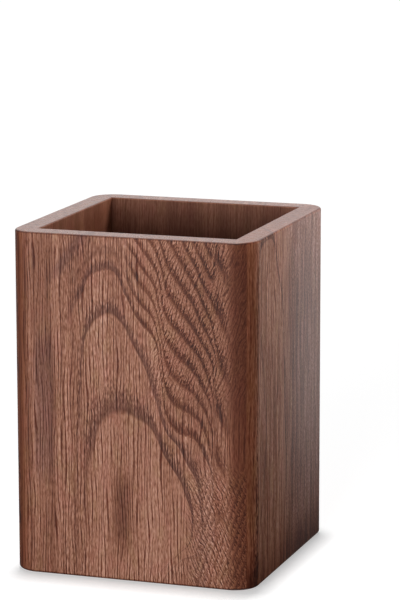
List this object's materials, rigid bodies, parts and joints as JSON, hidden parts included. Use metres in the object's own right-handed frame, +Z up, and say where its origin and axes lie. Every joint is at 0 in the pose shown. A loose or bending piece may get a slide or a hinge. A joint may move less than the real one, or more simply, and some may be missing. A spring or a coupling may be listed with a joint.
{
  "type": "pen cup",
  "caption": "Square open-topped wooden pen cup: mitred upright boards with rounded outside corners, a base board tongued into grooves near the foot, and non-slip pads.",
  "frame": {"origin": "centre of the cup's square footprint, on the surface that it stands on", "axes": "+Z up, out of the open top; -Y out of the front board; +X out of the right-hand board"},
  "size_m": [0.08, 0.08, 0.11],
  "materials": {
    "walnut": "sanded and oiled, low sheen",
    "walnut_base": "sanded and oiled, low sheen",
    "pad_rubber": "matt, die-cut"
  },
  "bodies": {
    "root": {"front_board": "walnut", "right_board": "walnut", "back_board": "walnut", "left_board": "walnut", "base_board": "walnut_base", "foot_pad_front_left": "pad_rubber", "foot_pad_front_right": "pad_rubber", "foot_pad_back_left": "pad_rubber", "foot_pad_back_right": "pad_rubber"}
  },
  "joints": []
}
